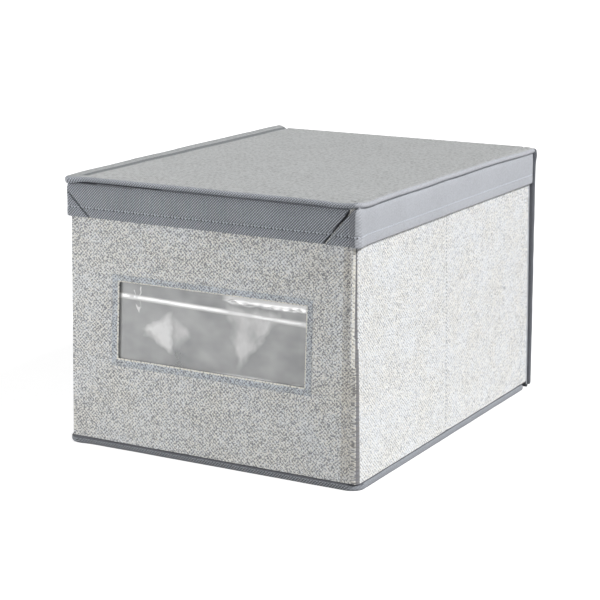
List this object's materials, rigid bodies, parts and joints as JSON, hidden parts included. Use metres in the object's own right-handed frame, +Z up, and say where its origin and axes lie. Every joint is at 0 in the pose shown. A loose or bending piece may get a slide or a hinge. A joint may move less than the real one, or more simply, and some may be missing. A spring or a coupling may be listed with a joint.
{
  "type": "storage box",
  "caption": "Collapsible fabric storage box with board-stiffened folding walls, a clear front window and a hinged lid with a hanging skirt.",
  "frame": {"origin": "centre of the footprint, on the surface the box stands on", "axes": "+Z up, -Y the way the window looks, +Y towards the lid's hinge, +X to the right of someone facing the window"},
  "size_m": [0.298, 0.387, 0.248],
  "materials": {
    "woven_fabric": "coarse plain weave of pale yarns",
    "grey_fabric": "grey non-woven cloth with a fine crosshatch",
    "tape": "dark grey binding tape",
    "lining": "plain grey non-woven lining",
    "board": "grey-brown stiffening board",
    "film": "clear flexible film"
  },
  "bodies": {
    "shell": {"back_fabric": "woven_fabric", "back_board": "board", "back_lining": "lining", "rear_return_fabric": "woven_fabric", "rear_return_board": "board", "rear_return_lining": "lining", "rear_tape_left": "tape", "rear_tape_right": "tape", "rear_bottom_tape": "tape", "bottom_tape_front": "tape", "bottom_tape_left": "tape", "bottom_tape_right": "tape", "bottom_cloth": "lining", "insert_board": "board", "insert_cover": "lining"},
    "side_right_rear": {"side_right_rear_fabric": "woven_fabric", "side_right_rear_board": "board", "side_right_rear_lining": "lining"},
    "side_right_front": {"side_right_front_fabric": "woven_fabric", "side_right_front_board": "board", "side_right_front_lining": "lining"},
    "front": {"front_fabric": "woven_fabric", "front_board": "board", "front_lining": "lining", "window_film": "film", "front_return_fabric": "woven_fabric", "front_return_board": "board", "front_return_lining": "lining"},
    "side_left_rear": {"side_left_rear_fabric": "woven_fabric", "side_left_rear_board": "board", "side_left_rear_lining": "lining"},
    "side_left_front": {"side_left_front_fabric": "woven_fabric", "side_left_front_board": "board", "side_left_front_lining": "lining"},
    "lid": {"lid_top": "grey_fabric", "lid_board": "board", "lid_lining": "lining", "lid_edge_front": "grey_fabric", "lid_edge_left": "grey_fabric", "lid_edge_right": "grey_fabric", "lid_skirt_front": "grey_fabric", "lid_skirt_left": "grey_fabric", "lid_skirt_right": "grey_fabric"}
  },
  "joints": [
    {"name": "lid_hinge", "type": "hinge", "parent": "shell", "child": "lid", "pos_m": [0, 0.1935, 0.248], "axis": [-1, 0, 0], "range_deg": [0, 219]},
    {"name": "right_rear_fold", "type": "hinge", "parent": "shell", "child": "side_right_rear", "pos_m": [0.1403, 0.1653, 0], "axis": [0, 0, -1], "range_deg": [0, 87]},
    {"name": "right_crease_fold", "type": "hinge", "parent": "side_right_rear", "child": "side_right_front", "pos_m": [0.1435, -0.00975, 0], "axis": [0, 0, 1], "range_deg": [0, 174]},
    {"name": "right_front_corner", "type": "hinge", "parent": "side_right_front", "child": "front", "pos_m": [0.1403, -0.1848, 0], "axis": [0, 0, -1], "range_deg": [0, 87]},
    {"name": "left_rear_corner", "type": "hinge", "parent": "shell", "child": "side_left_rear", "pos_m": [-0.1403, 0.1903, 0], "axis": [0, 0, 1], "range_deg": [0, 87]},
    {"name": "left_crease_fold", "type": "hinge", "parent": "side_left_rear", "child": "side_left_front", "pos_m": [-0.1435, 0.01525, 0], "axis": [0, 0, -1], "range_deg": [0, 174]}
  ],
  "couplings": [
    {"joint": "right_crease_fold", "follows": "right_rear_fold", "ratio": 2},
    {"joint": "right_front_corner", "follows": "right_rear_fold", "ratio": 1},
    {"joint": "left_rear_corner", "follows": "right_rear_fold", "ratio": 1},
    {"joint": "left_crease_fold", "follows": "right_rear_fold", "ratio": 2}
  ]
}
